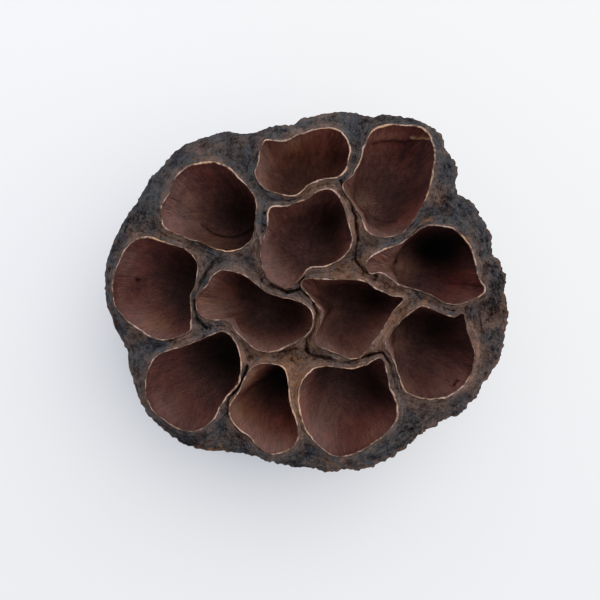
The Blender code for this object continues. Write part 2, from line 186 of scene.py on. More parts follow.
def isInside(points, loop):
    # counts how many edges a line to the right of each point crosses: an odd number is inside
    x, y = points[:, 0, None], points[:, 1, None]
    ax, ay = loop[None, :, 0], loop[None, :, 1]
    bx, by = np.roll(ax, -1, 1), np.roll(ay, -1, 1)
    crosses = (ay > y) != (by > y)
    reach = np.where(crosses, by - ay, 1.0)
    return (crosses & (x < ax + (y - ay) * (bx - ax) / reach)).sum(1) % 2 == 1


def zeroToOne(values):
    return np.clip(values, 0.0, 1.0)


def bell(away, width):
    # 1 in the middle, about a third at that width and soon 0
    return np.exp(-((away / width) ** 2))


def waves(x, y, size, phase):
    # three crossing sine waves, each about as long as size
    k = turn / size
    total = np.sin(k * (0.83 * x + 0.37 * y) + phase)
    total = total + np.sin(k * (-0.41 * x + 0.90 * y) * 1.13 + 2.1 * phase)
    total = total + np.sin(k * (0.64 * x - 0.71 * y) * 0.87 + 3.7 * phase)
    return total / 2.2


def patches(x, y, size, seed):
    # random values between -1 and 1 on the corners of squares, blended smoothly between them
    table = np.random.default_rng(seed).uniform(-1.0, 1.0, (256, 256))
    gx, gy = x / size + 91.3, y / size + 87.7
    i, j = np.floor(gx).astype(int), np.floor(gy).astype(int)
    fx, fy = gx - i, gy - j
    fx, fy = fx**3 * (fx * (6.0 * fx - 15.0) + 10.0), fy**3 * (fy * (6.0 * fy - 15.0) + 10.0)
    low = table[i % 256, j % 256] * (1.0 - fx) + table[(i + 1) % 256, j % 256] * fx
    high = table[i % 256, (j + 1) % 256] * (1.0 - fx) + table[(i + 1) % 256, (j + 1) % 256] * fx
    return low * (1.0 - fy) + high * fy


def roughness(x, y, size, octaves, seed):
    # patches added at half the size and half the height each time, each turned by a radian
    total, height = 0.0, 1.0
    for k in range(octaves):
        c, s = math.cos(k + 0.4), math.sin(k + 0.4)
        total = total + height * patches(c * x - s * y, s * x + c * y, size * 0.5**k, seed + k)
        height *= 0.5
    return total / 1.6


def wrinkles(x, y, size, seed):
    # sharp ridges where the roughness passes through zero
    return 1.0 - 2.2 * np.abs(roughness(x, y, size, 3, seed))


def faceHeight(x, y):
    # nearly flat, with a dome that falls off as the fourth power of the reach, and a little uneven
    reach = np.hypot(x / pod["halfLength"], y / pod["halfBreadth"])
    return pod["faceHeight"] - pod["domeDrop"] * reach**4 + pod["faceWave"] * waves(x, y, 31.0, 0.6)


def lipHeight(x, y):
    # the lip stands lipRise over the face and rises and dips along its way
    rise = pod["lipRise"] + pod["lipWave"] * waves(x, y, 13.0, 1.9) + pod["lipRipple"] * waves(x, y, 5.0, 4.2)
    return faceHeight(x, y) + rise


def mouthOf(points):
    # the smooth curve, moved in and out by small bumps
    loop = smoothClosedCurve(points[::-1], pod["mouthSteps"])
    x, y = loop[:, 0], loop[:, 1]
    bumps = pod["mouthBump"] * roughness(x, y, 2.6, 2, 91) + pod["mouthNick"] * roughness(x, y, 0.8, 2, 93)
    return loop + outwardOf(loop) * bumps[:, None]


def nearLine(x, y, line):
    # distance in plan to the open line through the given points
    nearest = np.full(np.shape(x), farAway)
    for (ax, ay), (bx, by) in zip(line[:-1], line[1:]):
        along = ((x - ax) * (bx - ax) + (y - ay) * (by - ay)) / ((bx - ax) ** 2 + (by - ay) ** 2)
        along = zeroToOne(along)
        nearest = np.minimum(nearest, np.hypot(x - ax - along * (bx - ax), y - ay - along * (by - ay)))
    return nearest


def spotsAt(x, y, spots):
    # round soft spots in plan, each as (x, y, size, strength), added up
    total = 0.0 * x
    for cx, cy, size, strength in spots:
        total = total + strength * np.exp(-((x - cx) ** 2 + (y - cy) ** 2) / size**2)
    return total


rim = smoothClosedCurve(rimPoints[::-1], pod["rimSteps"])
rimAngle = np.arctan2(rim[:, 1], rim[:, 0])
rimReach = np.hypot(rim[:, 0], rim[:, 1]) + pod["rimGrowth"] + spotsAt(*rim.T, pod["rimSwells"])
order = np.argsort(rimAngle)
rimAngle, rimReach = rimAngle[order], rimReach[order]
mouths = {name: mouthOf(points) for name, points in mouthPoints.items()}


def rimRadius(angle):
    return np.interp(angle, rimAngle, rimReach, period=turn)


def gridQuads(rows, columns):
    # quads between neighbouring rows of a grid whose last column meets its first
    k = np.arange(columns)
    after = (k + 1) % columns
    r = np.arange(rows - 1)[:, None] * columns
    return np.stack([r + k, r + after, r + columns + after, r + columns + k], -1).reshape(-1, 4)


def makePiece(name, points, faces, masks, material):
    # masks are values at each point that the material reads by name, one number or three
    mesh = bpy.data.meshes.new(name)
    mesh.from_pydata((points * mm).tolist(), [], faces)
    mesh.update()
    mesh.shade_smooth()
    for mask, values in masks.items():
        kind, field = ("FLOAT", "value") if values.ndim == 1 else ("FLOAT_VECTOR", "vector")
        layer = mesh.attributes.new(mask, kind, "POINT")
        layer.data.foreach_set(field, values.astype(np.float32).ravel())
    mesh.materials.append(material)
    piece = bpy.data.objects.new(name, mesh)
    bpy.context.scene.collection.objects.link(piece)
    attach(piece, "root")
    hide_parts("lotus_pod")
    return piece


def feed(tree, socket, value):
    # links another node's output to the socket, or sets a number or a colour on it
    if isinstance(value, bpy.types.NodeSocket):
        tree.links.new(value, socket)
    else:
        socket.default_value = value


def addNode(tree, kind, settings=None, **inputs):
    # an input is given by its name, with _ for a space, or by i and its number
    node = tree.nodes.new(kind)
    for key, value in (settings or {}).items():
        setattr(node, key, value)
    for key, value in inputs.items():
        numbered = key[0] == "i" and key[1:].isdigit()
        feed(tree, node.inputs[int(key[1:]) if numbered else key.replace("_", " ")], value)
    return node


def mixColours(tree, share, first, second):
    # a colour mix takes its share and its two colours as inputs 0, 6 and 7
    return addNode(tree, "ShaderNodeMix", {"data_type": "RGBA"}, i0=share, i6=first, i7=second).outputs[2]


def mathOf(tree, operation, a, b=0.0, clamp=False):
    node = addNode(tree, "ShaderNodeMath", {"operation": operation, "use_clamp": clamp}, i0=a, i1=b)
    return node.outputs[0]


def weightedSum(tree, *parts):
    # each value times its share, added up
    total = mathOf(tree, "MULTIPLY", *parts[0])
    for value, share in parts[1:]:
        total = mathOf(tree, "ADD", total, mathOf(tree, "MULTIPLY", value, share))
    return total


def remap(tree, value, low, high, newLow=0.0, newHigh=1.0):
    # the range from low to high becomes the new one, and what lies past it is held at its ends
    node = addNode(tree, "ShaderNodeMapRange", {"clamp": True}, Value=value, i1=low, i2=high,
                   i3=newLow, i4=newHigh)
    return node.outputs[0]


def newGroup(name, sizes, outputs):
    # a group that takes a Vector and the sizes, with their usual values, and puts out numbers
    group = bpy.data.node_groups.new(name, "ShaderNodeTree")
    group.interface.new_socket("Vector", in_out="INPUT", socket_type="NodeSocketVector")
    for size, usual in sizes.items():
        group.interface.new_socket(size, in_out="INPUT", socket_type="NodeSocketFloat").default_value = usual
    for output in outputs:
        group.interface.new_socket(output, in_out="OUTPUT", socket_type="NodeSocketFloat")
    return group, group.nodes.new("NodeGroupInput").outputs, group.nodes.new("NodeGroupOutput").inputs


def placeGroup(tree, group, **inputs):
    return addNode(tree, "ShaderNodeGroup", {"node_tree": group}, **inputs).outputs


def startMaterial(name):
    material = bpy.data.materials.new(name)
    material.use_nodes = True
    return material, material.node_tree


def dressShader(tree, look, colour, tone, height):
    # lighter tones are less rough, and the height goes in through a bump
    shader = tree.nodes["Principled BSDF"]
    bump = addNode(tree, "ShaderNodeBump", Height=height, Distance=look["bumpDepth"],
                   Strength=look["bumpStrength"])
    feed(tree, shader.inputs["Base Color"], colour)
    rough = remap(tree, tone, 0.0, 1.0, look["roughHigh"], look["roughLow"])
    feed(tree, shader.inputs["Roughness"], rough)
    feed(tree, shader.inputs["Normal"], bump.outputs[0])
    feed(tree, shader.inputs["Specular IOR Level"], look["shine"])


def placeOf(tree):
    # object coordinates in metres
    return addNode(tree, "ShaderNodeTexCoord").outputs["Object"]


def millimetres(tree):
    scale = (1000.0, 1000.0, 1000.0)
    return addNode(tree, "ShaderNodeMapping", Vector=placeOf(tree), Scale=scale).outputs[0]


def maskOf(tree, name, output="Fac"):
    return addNode(tree, "ShaderNodeAttribute", {"attribute_name": name}).outputs[output]


def laidOver(tree, colour, look, *names):
    # each mask in turn lays its own colour over what is there: real colour marks, and the painted shade of
    # creases
    for name in names:
        colour = mixColours(tree, maskOf(tree, name), colour, look[name])
    return colour


def makeWeathering():
    # broad blotches, fine grain and dark pores of a dried surface, each from noise of its own size
    sizes = {"Blotch Size": 6.0, "Grain Size": 0.6}
    group, start, end = newGroup("weathering", sizes, ("Blotch", "Grain", "Pores"))
    where = start["Vector"]
    blotchScale = mathOf(group, "DIVIDE", 1.0, start["Blotch Size"])
    grainScale = mathOf(group, "DIVIDE", 1.0, start["Grain Size"])
    blotch = addNode(group, "ShaderNodeTexNoise", Vector=where, Scale=blotchScale,
                     Detail=4.0, Roughness=0.6, Distortion=0.4)
    grain = addNode(group, "ShaderNodeTexNoise", Vector=where, Scale=grainScale,
                    Detail=5.0, Roughness=0.7, Distortion=0.2)
    pores = addNode(group, "ShaderNodeTexVoronoi", Vector=where, Scale=grainScale)
    feed(group, end["Blotch"], remap(group, blotch.outputs[0], 0.3, 0.7))
    feed(group, end["Grain"], remap(group, grain.outputs[0], 0.3, 0.7))
    feed(group, end["Pores"], remap(group, pores.outputs["Distance"], 0.0, 0.35, 1.0, 0.0))
    return group


def makeFibres():
    # long thin streaks and broader bands: noise on coordinates that are squeezed along the fibre
    group, start, end = newGroup("fibres", {"Width": 0.3}, ("Streak", "Band"))
    where = start["Vector"]
    fineScale = mathOf(group, "DIVIDE", 1.0, start["Width"])
    broadScale = mathOf(group, "MULTIPLY", fineScale, 0.22)
    fine = addNode(group, "ShaderNodeTexNoise", Vector=where, Scale=fineScale, Detail=3.0, Roughness=0.6)
    broad = addNode(group, "ShaderNodeTexNoise", Vector=where, Scale=broadScale, Detail=3.0, Roughness=0.55)
    feed(group, end["Streak"], remap(group, fine.outputs[0], 0.32, 0.68))
    feed(group, end["Band"], remap(group, broad.outputs[0], 0.35, 0.65))
    return group


weathering = makeWeathering()
fibres = makeFibres()


# Colours of the skin, sizes of its markings, and the share that each marking has in how light it is. The
# bumps of both materials are in metres.
skinLook = {
    "slateDark": (0.012, 0.011, 0.013, 1.0),
    "slateLight": (0.140, 0.128, 0.124, 1.0),
    "slateBlue": (0.103, 0.108, 0.117, 1.0),
    "brownDark": (0.036, 0.024, 0.020, 1.0),
    "brownLight": (0.285, 0.180, 0.140, 1.0),
    "fringe": (0.300, 0.155, 0.085, 1.0),
    # near-black of the painted shade in the clefts, seams and pits
    "creaseShade": (0.006, 0.004, 0.004, 1.0),
    "blotchSize": 3.2,
    "grainSize": 0.42,
    "patchSize": 0.9,
    "speckSize": 0.20,
    "threadWidth": 0.8,
    "blotchShare": 0.15,
    "grainShare": 0.45,
    "speckShare": 0.30,
    "threadShare": 0.34,
    "crownShare": 0.7,
    "poreShare": 0.42,
    "toneRange": (0.40, 1.17),
    "warmDrift": 0.35,
    "shine": 0.2,
    "roughLow": 0.78,
    "roughHigh": 0.95,
    "bumpDepth": 0.00032,
    "bumpStrength": 1.0,
}


def makeSkinMaterial():
    # one tone runs from dark to light in slate and in brown, the warm mask says which of the two shows, and
    # the orange fringe, the pores and the painted shade of the clefts, seams and pits are laid over them
    material, tree = startMaterial("podSkin")
    look, where = skinLook, millimetres(tree)
    worn = placeGroup(tree, weathering, Vector=where, Blotch_Size=look["blotchSize"],
                      Grain_Size=look["grainSize"])
    speck = placeGroup(tree, weathering, Vector=where, Blotch_Size=look["patchSize"],
                       Grain_Size=look["speckSize"])
    along = maskOf(tree, "fibreWay", "Vector")
    thread = placeGroup(tree, fibres, Vector=along, Width=look["threadWidth"])
    # the crown mask is partly painted highlight on the crests of wrinkles, ridges and ribs, and partly the
    # collars' and listed spots' own paler tone
    tone = weightedSum(tree, (worn["Blotch"], look["blotchShare"]), (worn["Grain"], look["grainShare"]),
                       (speck["Grain"], look["speckShare"]), (thread["Streak"], look["threadShare"]),
                       (maskOf(tree, "crown"), look["crownShare"]))
    tone = remap(tree, tone, *look["toneRange"])
    blueness = remap(tree, worn["Blotch"], 0.25, 0.80)
    light = mixColours(tree, blueness, look["slateLight"], look["slateBlue"])
    slate = mixColours(tree, tone, look["slateDark"], light)
    brown = mixColours(tree, tone, look["brownDark"], look["brownLight"])
    drift = remap(tree, speck["Blotch"], 0.0, 1.0, -look["warmDrift"], look["warmDrift"])
    warm = mathOf(tree, "ADD", maskOf(tree, "warm"), drift, clamp=True)
    colour = mixColours(tree, warm, slate, brown)
    orange = mathOf(tree, "MULTIPLY", maskOf(tree, "fringe"), remap(tree, speck["Blotch"], 0.2, 0.8))
    colour = mixColours(tree, orange, colour, look["fringe"])
    pores = mathOf(tree, "MULTIPLY", worn["Pores"], look["poreShare"])
    colour = mixColours(tree, pores, colour, look["slateDark"])
    # painted shade in the clefts, seams and pits
    colour = laidOver(tree, colour, look, "creaseShade")
    height = weightedSum(tree, (worn["Grain"], 1.0), (worn["Pores"], -0.5), (speck["Grain"], 0.4),
                         (thread["Streak"], 0.6))
    dressShader(tree, look, colour, tone, height)
    return material


# Colours of the linings and lips, and the share that each marking has in how light a lining is.
liningLook = {
    "deep": (0.140, 0.086, 0.086, 1.0),
    "chestnut": (0.370, 0.212, 0.176, 1.0),
    "umber": (0.240, 0.180, 0.168, 1.0),
    "pale": (0.530, 0.350, 0.275, 1.0),
    "russet": (0.330, 0.112, 0.090, 1.0),
    "amber": (0.440, 0.225, 0.115, 1.0),
    # greyer and a little darker colour for the lower part of each pocket
    "greyDeep": (0.190, 0.160, 0.152, 1.0),
    # near-black of the painted shade below the lips and on the walls that face away from the windows
    "paintedShade": (0.024, 0.015, 0.015, 1.0),
    "lipTan": (0.500, 0.360, 0.300, 1.0),
    "lipGold": (0.550, 0.340, 0.215, 1.0),
    "lipBrown": (0.120, 0.078, 0.064, 1.0),
    "outside": (0.080, 0.060, 0.054, 1.0),
    # near-black of the painted shade in the folds' creases and the pits
    "creaseShade": (0.010, 0.005, 0.004, 1.0),
    "blotchSize": 3.2,
    "grainSize": 0.35,
    "threadWidth": 0.30,
    "streakShare": 0.44,
    "bandShare": 0.42,
    "grainShare": 0.26,
    "blotchShare": 0.08,
    "paleShare": 0.4,
    "redShare": 0.18,
    "lipDrift": 0.3,
    "shine": 0.3,
    "roughLow": 0.62,
    "roughHigh": 0.85,
    "bumpDepth": 0.00026,
    "bumpStrength": 0.8,
}


def makeLiningMaterial():
    # umber and chestnut in blotches, coloured by each mask in turn and darker between the fibres, with
    # painted shade below the lip and on the shaded walls, the lip's own colours over them, and the painted
    # shade of the folds' creases over all
    material, tree = startMaterial("pocketLining")
    look, where = liningLook, millimetres(tree)
    along = maskOf(tree, "fibreWay", "Vector")
    worn = placeGroup(tree, weathering, Vector=where, Blotch_Size=look["blotchSize"],
                      Grain_Size=look["grainSize"])
    thread = placeGroup(tree, fibres, Vector=along, Width=look["threadWidth"])
    base = mixColours(tree, worn["Blotch"], look["umber"], look["chestnut"])
    red = mathOf(tree, "MULTIPLY", remap(tree, thread["Band"], 0.3, 0.9), look["redShare"])
    red = mathOf(tree, "ADD", maskOf(tree, "russet"), red, clamp=True)
    base = mixColours(tree, red, base, look["russet"])
    base = laidOver(tree, base, look, "amber", "greyDeep", "pale")
    tone = weightedSum(tree, (thread["Streak"], look["streakShare"]), (thread["Band"], look["bandShare"]),
                       (worn["Grain"], look["grainShare"]), (worn["Blotch"], look["blotchShare"]))
    pale = mathOf(tree, "MULTIPLY", maskOf(tree, "pale"), look["paleShare"])
    tone = mathOf(tree, "ADD", tone, pale, clamp=True)
    base = mixColours(tree, tone, look["deep"], base)
    # painted shade: darker towards near-black just below the lip and on the walls that face away from the
    # windows
    base = mixColours(tree, maskOf(tree, "shadeShare"), base, look["paintedShade"])
    drift = remap(tree, worn["Grain"], 0.0, 1.0, -look["lipDrift"], look["lipDrift"])
    lipTone = mathOf(tree, "ADD", maskOf(tree, "lipLight"), drift, clamp=True)
    lipLight = mixColours(tree, maskOf(tree, "gold"), look["lipTan"], look["lipGold"])
    lipColour = mixColours(tree, lipTone, look["lipBrown"], lipLight)
    colour = mixColours(tree, maskOf(tree, "lip"), base, lipColour)
    # painted shade in the folds' creases and at the pits
    colour = laidOver(tree, colour, look, "outside", "creaseShade")
    height = weightedSum(tree, (thread["Streak"], 1.0), (worn["Grain"], 0.5))
    dressShader(tree, look, colour, tone, height)
    return material


podSkin = makeSkinMaterial()
pocketLining = makeLiningMaterial()
print("materials made")


skin = {
    "reach": 37.4,
    "spacing": 0.15,
    "insideLip": 0.08,
    "bandSteps": 1200,
    "bandLeast": 0.35,
    "bandMost": 2.0,
    "lipHalf": 0.3,
    "lipStep": 0.45,
    "collarWidth": 1.3,
    "swellHeight": 0.3,
    "saddleRise": 1.5,
    "saddleWidth": 3.0,
    "creviceDepth": 1.2,
    "creviceWidth": 0.17,
    "creviceWander": 0.25,
    "seamDepth": 0.25,
    "seamWidth": 0.3,
    "ridgeHeight": 0.45,
    "ridgeWidth": 0.28,
    "wrinkleHeight": 0.20,
    "grainHeight": 0.10,
    "marginDrop": 1.5,
    "marginRound": 1.8,
    "warmSpots": [
        (12.0, -1.0, 8.0, 0.6), (-1.0, -14.5, 7.0, 0.8), (8.0, 12.0, 6.0, 0.45), (33.0, -8.0, 6.0, 0.5),
        (1.0, 18.5, 3.0, 0.5), (29.0, -19.0, 7.0, 0.55), (-9.0, 6.0, 5.0, 0.3), (-1.5, -21.0, 5.0, 0.7),
        (0.0, -5.0, 4.0, 0.6), (14.5, -7.0, 4.0, 0.6), (-13.0, -12.0, 3.0, 0.5),
    ],
    "lightSpots": [
        (-6.0, 16.3, 2.2, 0.3), (-14.0, 4.3, 2.6, 0.3), (-24.0, 8.6, 2.2, 0.3), (10.5, 14.5, 2.4, 0.25),
        (-8.3, 13.0, 1.6, 0.35), (13.5, -6.5, 2.6, 0.35), (14.5, 8.8, 2.5, 0.2), (-2.0, -14.0, 3.0, 0.12),
        (-1.6, -20.5, 2.8, 0.35), (1.2, -5.0, 3.0, 0.6), (-13.0, -12.5, 2.0, 0.35),
        (-13.6, -19.5, 2.4, 0.3), (-18.0, 24.6, 3.0, 0.2), (16.0, 30.8, 5.0, -0.3),
        (34.5, -1.0, 5.0, -0.35), (-22.0, -26.5, 4.0, -0.2), (7.0, -31.0, 6.0, 0.1), (7.6, 13.2, 2.2, 0.3),
        (-26.8, 19.2, 4.0, 0.24), (2.4, 30.5, 4.0, 0.12), (-31.0, -11.5, 4.0, 0.2),
        (-4.0, -11.5, 2.5, -0.3),
    ],
    "orangeSpots": [
        (21.6, -1.8, 1.0, 0.9), (21.8, 12.6, 1.0, 0.8), (29.2, 9.6, 1.3, 0.5), (-1.5, -15.2, 3.2, 0.6),
        (15.0, -5.0, 2.8, 0.6), (-25.6, 17.2, 0.8, 0.5), (-1.6, -20.5, 2.4, 0.7), (-8.0, -12.6, 2.2, 0.5),
        (1.0, -8.6, 1.8, 0.5), (10.0, 5.4, 1.4, 0.5), (-17.0, -29.2, 2.2, 0.5), (-4.0, -11.5, 2.4, 0.4),
        (5.0, -32.0, 3.0, 0.5), (6.0, 3.4, 2.6, 0.4), (-13.0, -11.0, 1.8, 0.4), (-27.0, 9.8, 2.4, 0.3),
        (-18.0, 24.4, 2.6, 0.25),
    ],
    # dark dots of painted shade where small holes would be
    "pits": [(-7.5, 14.0, 0.32, 1.0), (-7.6, 11.8, 0.32, 1.0), (-7.9, 10.7, 0.2, 0.8)],
}

# Narrow clefts between the collars, each with how deep it is, which also sets how dark its painted shade is,
# and thin ridges beside a lip, seen from above.
clefts = [
    (0.8, [(6.0, 19.8), (7.4, 16.7), (8.7, 13.5), (9.0, 9.2), (8.7, 5.6), (10.1, 3.6), (12.6, 2.9)]),
    (0.9, [(-6.6, 1.1), (-3.6, -0.2), (-1.2, 0.4), (-0.9, 2.5)]),
    (0.6, [(-1.0, 0.2), (1.2, -2.2), (2.0, -4.2), (1.2, -7.0), (-0.2, -8.6), (-0.1, -10.6), (1.0, -11.5),
           (4.1, -12.3)]),
    (0.5, [(-16.9, 5.2), (-17.8, 3.8), (-19.2, 1.2)]),
    (0.7, [(-20.0, -1.6), (-20.3, -3.1), (-19.6, -5.4), (-18.0, -6.8)]),
    (0.8, [(-10.6, -13.5), (-11.8, -16.9), (-13.8, -19.1), (-14.5, -22.3)]),
    (0.45, [(2.6, -12.0), (6.4, -13.0), (9.9, -11.9)]),
    (0.9, [(9.9, -11.9), (13.7, -11.2), (15.3, -13.5)]),
    (0.6, [(-6.6, -10.9), (-2.1, -10.6)]),
    (0.35, [(18.2, 1.0), (21.0, -1.4)]),
]
ridges = [
    [(-8.6, 15.4), (-8.3, 13.0), (-8.6, 10.2), (-8.2, 8.4)],
    [(29.4, -5.6), (31.0, -9.0), (30.6, -13.0)],
]


def mouthGaps():
    # distance from each mouth's points to the nearest other mouth, among those with their middle within 30
    gaps = {}
    for name, loop in mouths.items():
        nearest = np.full(len(loop), farAway)
        for other, otherLoop in mouths.items():
            if other != name and np.hypot(*(loop.mean(0) - otherLoop.mean(0))) < 30.0:
                nearest = np.minimum(nearest, distanceToLoop(loop, otherLoop[::2]))
        gaps[name] = nearest
    return gaps


def twoNearest(points):
    # distances from each point to the nearest mouth and to the next one, below zero inside a mouth; what
    # lies past every mouth's box, made 5 larger all round, counts as 30 away
    first = np.full(len(points), 30.0)
    second = np.full(len(points), 30.0)
    for loop in mouths.values():
        low, high = loop.min(0) - 5.0, loop.max(0) + 5.0
        near = np.flatnonzero(((points > low) & (points < high)).all(1))
        reach = distanceToLoop(points[near], loop[::2])
        reach[isInside(points[near], loop[::2])] *= -1.0
        old = first[near]
        first[near] = np.minimum(old, reach)
        second[near] = np.minimum(second[near], np.maximum(old, reach))
    return first, second


def insetAt(angle):
    # how wide the band along the rim is: half the room between the rim and the nearest mouth, here or six
    # steps to either side
    points = np.column_stack([np.cos(angle), np.sin(angle)]) * rimRadius(angle)[:, None]
    room, _ = twoNearest(points)
    room = np.minimum(room, np.minimum(np.roll(room, 6), np.roll(room, -6)))
    return np.clip(0.5 * room, skin["bandLeast"], skin["bandMost"])


bandAngle = np.linspace(-math.pi, math.pi, skin["bandSteps"], endpoint=False)
bandInset = insetAt(bandAngle)


def frayAt(x, y):
    # worn brown tips along the rim: only here and there, more of them to the right and below
    side = zeroToOne(0.5 + 0.5 * (0.8 * x - 0.6 * y) / 34.0)
    return zeroToOne(0.1 + 0.5 * side + 0.9 * roughness(x, y, 3.0, 3, 45))


def cleftAt(x, y, nearest):
    # each cleft wanders a little from its line, is deeper in places and closes before a lip
    wanderX = x + skin["creviceWander"] * patches(x, y, 1.7, 26)
    wanderY = y + skin["creviceWander"] * patches(x, y, 1.7, 27)
    cleft = 0.0 * x
    for deep, line in clefts:
        cleft = np.maximum(cleft, deep * bell(nearLine(wanderX, wanderY, line), skin["creviceWidth"]))
    cleft = cleft * np.clip(0.85 + 0.6 * roughness(x, y, 2.5, 2, 25), 0.3, 1.0)
    return cleft * zeroToOne(nearest / 0.35)


def skinSurface(points):
    # the face climbs to each lip and stays high in the saddle between two near mouths; clefts and seams cut
    # in, ridges stand up, wrinkles and grain lie all over, and the edge rounds off as a quarter circle
    x, y = points[:, 0], points[:, 1]
    nearest, second = twoNearest(points)
    margin = rimRadius(np.arctan2(y, x)) - np.hypot(x, y)
    clear = np.maximum(nearest - skin["lipHalf"], 0.0)
    climb = np.exp(-((clear / skin["collarWidth"]) ** 1.1))
    low = faceHeight(x, y) + skin["swellHeight"] * waves(x, y, 4.1, 2.7)
    saddle = bell(nearest + second, skin["saddleWidth"])
    low = low + skin["saddleRise"] * saddle
    height = low + climb * (lipHeight(x, y) - skin["lipStep"] - low)
    cleft = cleftAt(x, y, nearest)
    seam = bell(second - nearest, skin["seamWidth"]) * saddle
    ridge = 0.0 * x
    for line in ridges:
        ridge = np.maximum(ridge, bell(nearLine(x, y, line), skin["ridgeWidth"]))
    height = height - skin["creviceDepth"] * cleft - skin["seamDepth"] * seam + skin["ridgeHeight"] * ridge
    wrinkle = 0.6 * wrinkles(x, y, 2.2, 21) + 0.4 * wrinkles(x, y, 0.9, 24)
    calm = np.clip(nearest / 0.8, 0.25, 1.0)
    height = height + skin["wrinkleHeight"] * wrinkle * calm
    height = height + skin["grainHeight"] * roughness(x, y, 0.7, 3, 31)
    edge = zeroToOne(1.0 - margin / skin["marginRound"])
    height = height - skin["marginDrop"] * (1.0 - np.sqrt(np.maximum(1.0 - edge**2, 0.0)))
    # warm picks brown over slate; crown lightens, partly as painted highlight on crests; fringe tips with
    # orange; the crease mask darkens with painted shade in the clefts, seams and pits
    collar = bell(clear, 1.1)
    warm = 0.10 + 0.60 * roughness(x, y, 4.0, 3, 41) + 0.25 * collar + spotsAt(x, y, skin["warmSpots"])
    warm = warm - 0.25 * zeroToOne(1.0 - margin / 4.0)
    # lighter on wrinkle crests and ridges as painted highlight, and on the collars and listed spots as their
    # own paler tone
    crown = 0.14 + 0.30 * wrinkle + 0.24 * collar + 0.16 * roughness(x, y, 1.1, 2, 43)
    crown = crown + spotsAt(x, y, skin["lightSpots"]) + 0.5 * ridge
    fringe = zeroToOne(1.0 - margin / 0.9) * frayAt(x, y) + spotsAt(x, y, skin["orangeSpots"])
    # painted shade in the clefts and seams, and in the pits where small holes would show dark
    creaseShade = np.maximum(0.8 * cleft + 0.12 * seam, spotsAt(x, y, skin["pits"]))
    masks = {"warm": warm, "creaseShade": creaseShade, "crown": crown, "fringe": fringe}
    masks = {name: zeroToOne(values) for name, values in masks.items()}
    masks["fibreWay"] = np.column_stack([2.6 * np.minimum(nearest, 0.5 * margin + 1.0), 0.5 * x, 0.5 * y])
    return height, masks


def makeFaceSkin():
    # a square grid, kept where it is outside the mouths and inside the band along the rim, which it
    # overlaps by a quarter of the band's width
    reach = np.arange(-skin["reach"], skin["reach"], skin["spacing"])
    x, y = np.meshgrid(reach, reach)
    flat = np.column_stack([x.ravel(), y.ravel()])
    radius = np.hypot(flat[:, 0], flat[:, 1])
    angle = np.arctan2(flat[:, 1], flat[:, 0])
    inset = np.interp(angle, bandAngle, bandInset, period=turn)
    kept = np.flatnonzero(radius < rimRadius(angle) - 0.75 * inset)
    nearest, _ = twoNearest(flat[kept])
    kept = kept[nearest > skin["insideLip"]]
    number = np.full(len(flat), -1)
    number[kept] = np.arange(len(kept))
    number = number.reshape(x.shape)
    quads = np.stack([number[:-1, :-1], number[:-1, 1:], number[1:, 1:], number[1:, :-1]], -1).reshape(-1, 4)
    quads = quads[(quads >= 0).all(1)]
    height, masks = skinSurface(flat[kept])
    points = np.column_stack([flat[kept], height])
    makePiece("face_skin", points, quads.tolist(), masks, podSkin)
    print("face skin:", len(points), "points,", len(quads), "quads")


makeFaceSkin()


back = {
    "bandRows": 14,
    "sideRows": 62,
    "scarRows": 5,
    "scarRadius": 7.2,
    "meanRadius": 34.2,
    "edgeBumps": 0.40,
    "ribCount": 30,
    "ribHeight": 0.45,
    "lumpHeight": 0.7,
    "lumpWidth": 0.17,
    "lumpDepth": 8.0,
    "wrinkleHeight": 0.16,
    "grainHeight": 0.10,
}


def backTaper(depth):
    # half a cosine wave from the full size at the face to the scar's size at the foot
    scarShare = back["scarRadius"] / back["meanRadius"]
    return scarShare + (1.0 - scarShare) * 0.5 * (1.0 + np.cos(math.pi * (depth / pod["faceHeight"]) ** 1.6))


def roundTheRim(angle, down, size, octaves, seed):
    # roughness on a cylinder: two copies blended where the angle closes
    share = zeroToOne((np.abs(angle) - 2.7) / (math.pi - 2.7))
    around = angle * back["meanRadius"]
    turned = np.where(angle < 0.0, around + turn * back["meanRadius"], around)
    plain = roughness(around, down, size, octaves, seed)
    return plain * (1.0 - share) + roughness(turned, down, size, octaves, seed + 5) * share


